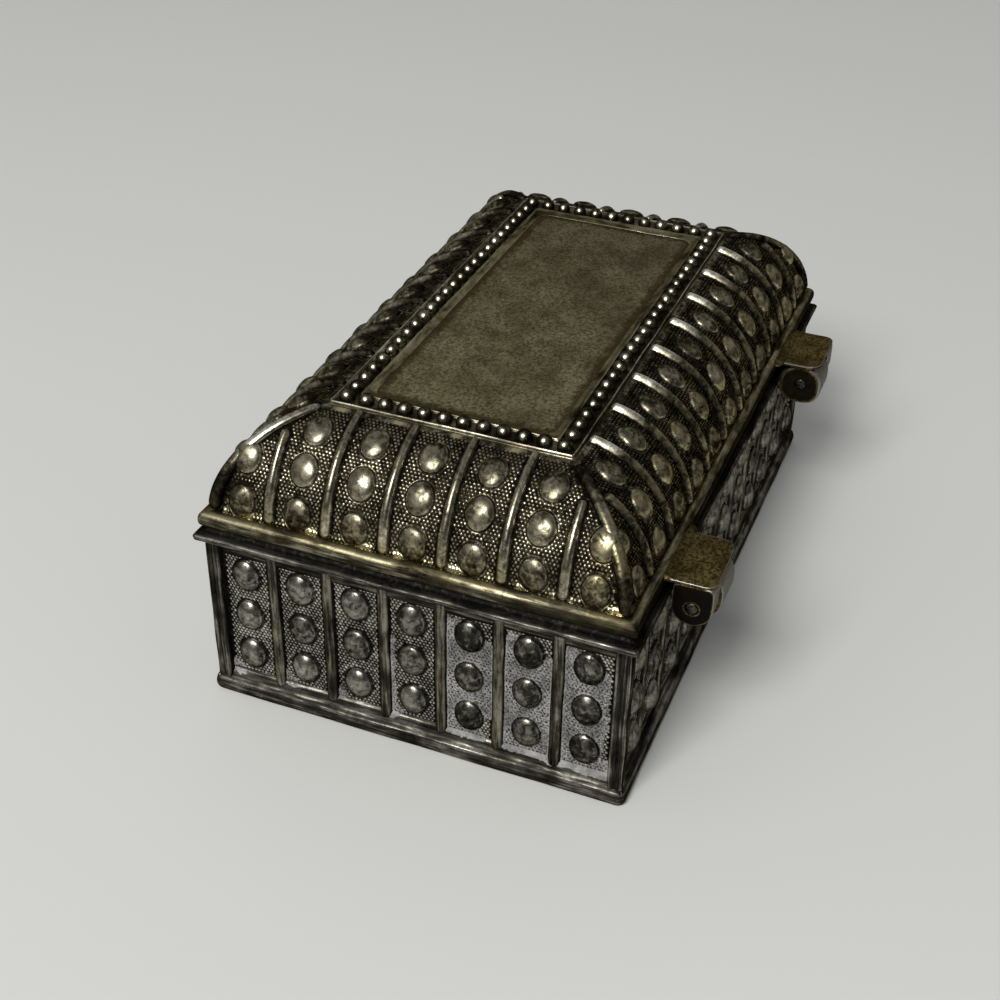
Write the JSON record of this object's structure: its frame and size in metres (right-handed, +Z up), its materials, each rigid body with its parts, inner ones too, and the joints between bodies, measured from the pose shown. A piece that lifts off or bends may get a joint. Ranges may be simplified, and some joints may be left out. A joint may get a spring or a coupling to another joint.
{
  "type": "jewellery box",
  "caption": "Small rectangular jewellery box in tarnished cast metal, with a hinged coved lid, a flat framed top panel, and oval bosses between ribs on every side.",
  "frame": {"origin": "centre of the box's rectangle on the surface it stands on, which is the middle of the felt under the bottom; the hinges stick out past the rectangle on +Y", "axes": "+X along the box towards its right end seen from the front, +Y towards the hinges at the back, +Z up"},
  "size_m": [0.1064, 0.0732, 0.048],
  "materials": {
    "base_metal": "cast white metal with worn silver plate, dark grey tarnish in the ground and a pale chalky residue",
    "lid_metal": "cast white metal with worn silver plate, polished on ribs, bosses and beads and nearly black between the granules",
    "panel_metal": "smooth sheet with mottled olive-brown tarnish and fine scratches",
    "hinge_metal": "porous cast metal worn through to a dull brown brass",
    "pin_metal": "dull drawn wire",
    "plate_metal": "plain grey metal plate",
    "velvet": "deep red velvet pile",
    "felt": "dark green felt"
  },
  "bodies": {
    "base": {"base_wall_back": "base_metal", "base_wall_left": "base_metal", "base_wall_front": "base_metal", "base_wall_right": "base_metal", "bottom_plate": "plate_metal", "bottom_felt": "felt", "floor_pad": "velvet", "wall_lining_back": "velvet", "wall_lining_left": "velvet", "wall_lining_front": "velvet", "wall_lining_right": "velvet", "base_hinge_leaf_right": "hinge_metal", "base_hinge_leaf_left": "hinge_metal", "hinge_pin_right": "pin_metal", "hinge_pin_left": "pin_metal"},
    "lid": {"lid_casting": "lid_metal", "lid_top_panel": "panel_metal", "lid_lining": "velvet", "lid_hinge_leaf_right": "hinge_metal", "lid_hinge_leaf_left": "hinge_metal"}
  },
  "joints": [
    {"name": "lid_hinge", "type": "hinge", "parent": "base", "child": "lid", "pos_m": [0, 0.03665, 0.02795], "axis": [-1, 0, 0], "range_deg": [0, 95]}
  ]
}
